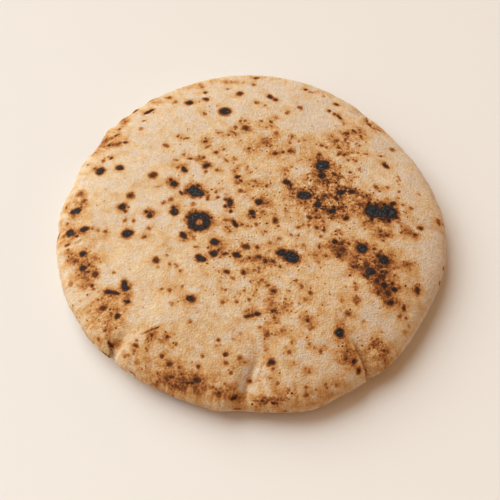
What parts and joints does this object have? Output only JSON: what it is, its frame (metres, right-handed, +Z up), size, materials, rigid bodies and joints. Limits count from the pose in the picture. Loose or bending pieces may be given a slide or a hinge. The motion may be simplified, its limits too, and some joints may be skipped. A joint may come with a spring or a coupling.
{
  "type": "pita bread",
  "caption": "Round flat pita bread with a low puffed crown, a rounded rim with a few pinched pleats and a flat underside; the crust is spotted with scorch marks.",
  "frame": {"origin": "on the resting surface, below the middle of the bread's box", "axes": "+Z up through the crown, -Y towards the side with the long pleat, +X to that side's right"},
  "size_m": [0.1906, 0.1932, 0.0245],
  "materials": {
    "crust": "dry matte baked crust"
  },
  "bodies": {
    "root": {"pita_bread": "crust"}
  },
  "joints": []
}
